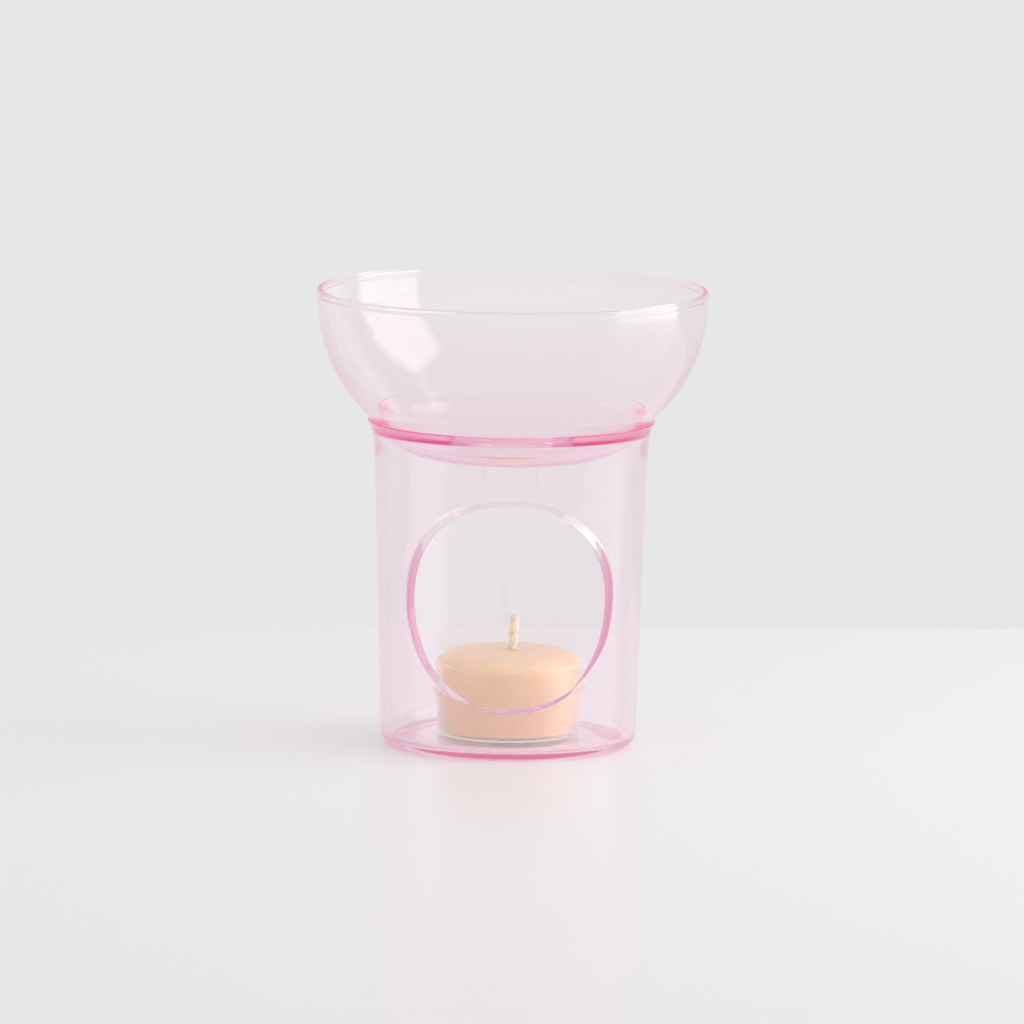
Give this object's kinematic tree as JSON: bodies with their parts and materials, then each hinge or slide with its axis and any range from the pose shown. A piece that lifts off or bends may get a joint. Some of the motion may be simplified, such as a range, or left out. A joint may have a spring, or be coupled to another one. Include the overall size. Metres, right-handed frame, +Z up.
{
  "type": "essential oil burner",
  "caption": "Pale pink glass oil burner: a tapered tube with a round window and a closed base holds a tealight, and a loose round bowl rests in the mouth of the tube.",
  "frame": {"origin": "under the middle of the burner's base, on the surface that it stands on", "axes": "+Z up along the axis of tube and bowl, -Y out through the middle of the window, +X to the right of someone facing the window"},
  "size_m": [0.1, 0.1, 0.1166],
  "materials": {
    "pink_glass": "clear pale pink borosilicate glass, fire-polished edges",
    "clear_plastic": "clear moulded plastic",
    "wax": "beige candle wax, satin",
    "cotton": "braided cotton, waxed",
    "tinplate": "bare tinplate"
  },
  "bodies": {
    "body": {"burner_body": "pink_glass"},
    "bowl": {"oil_bowl": "pink_glass"},
    "tealight": {"tealight_cup": "clear_plastic", "tealight_wax": "wax", "wick": "cotton", "wick_tab": "tinplate"}
  },
  "joints": [
    {"name": "bowl_lift", "type": "slide", "parent": "body", "child": "bowl", "axis": [0, 0, 1], "range_m": [0, 0.05]},
    {"name": "tealight_lift", "type": "slide", "parent": "body", "child": "tealight", "axis": [0, 0, 1], "range_m": [0, 0.022]}
  ]
}
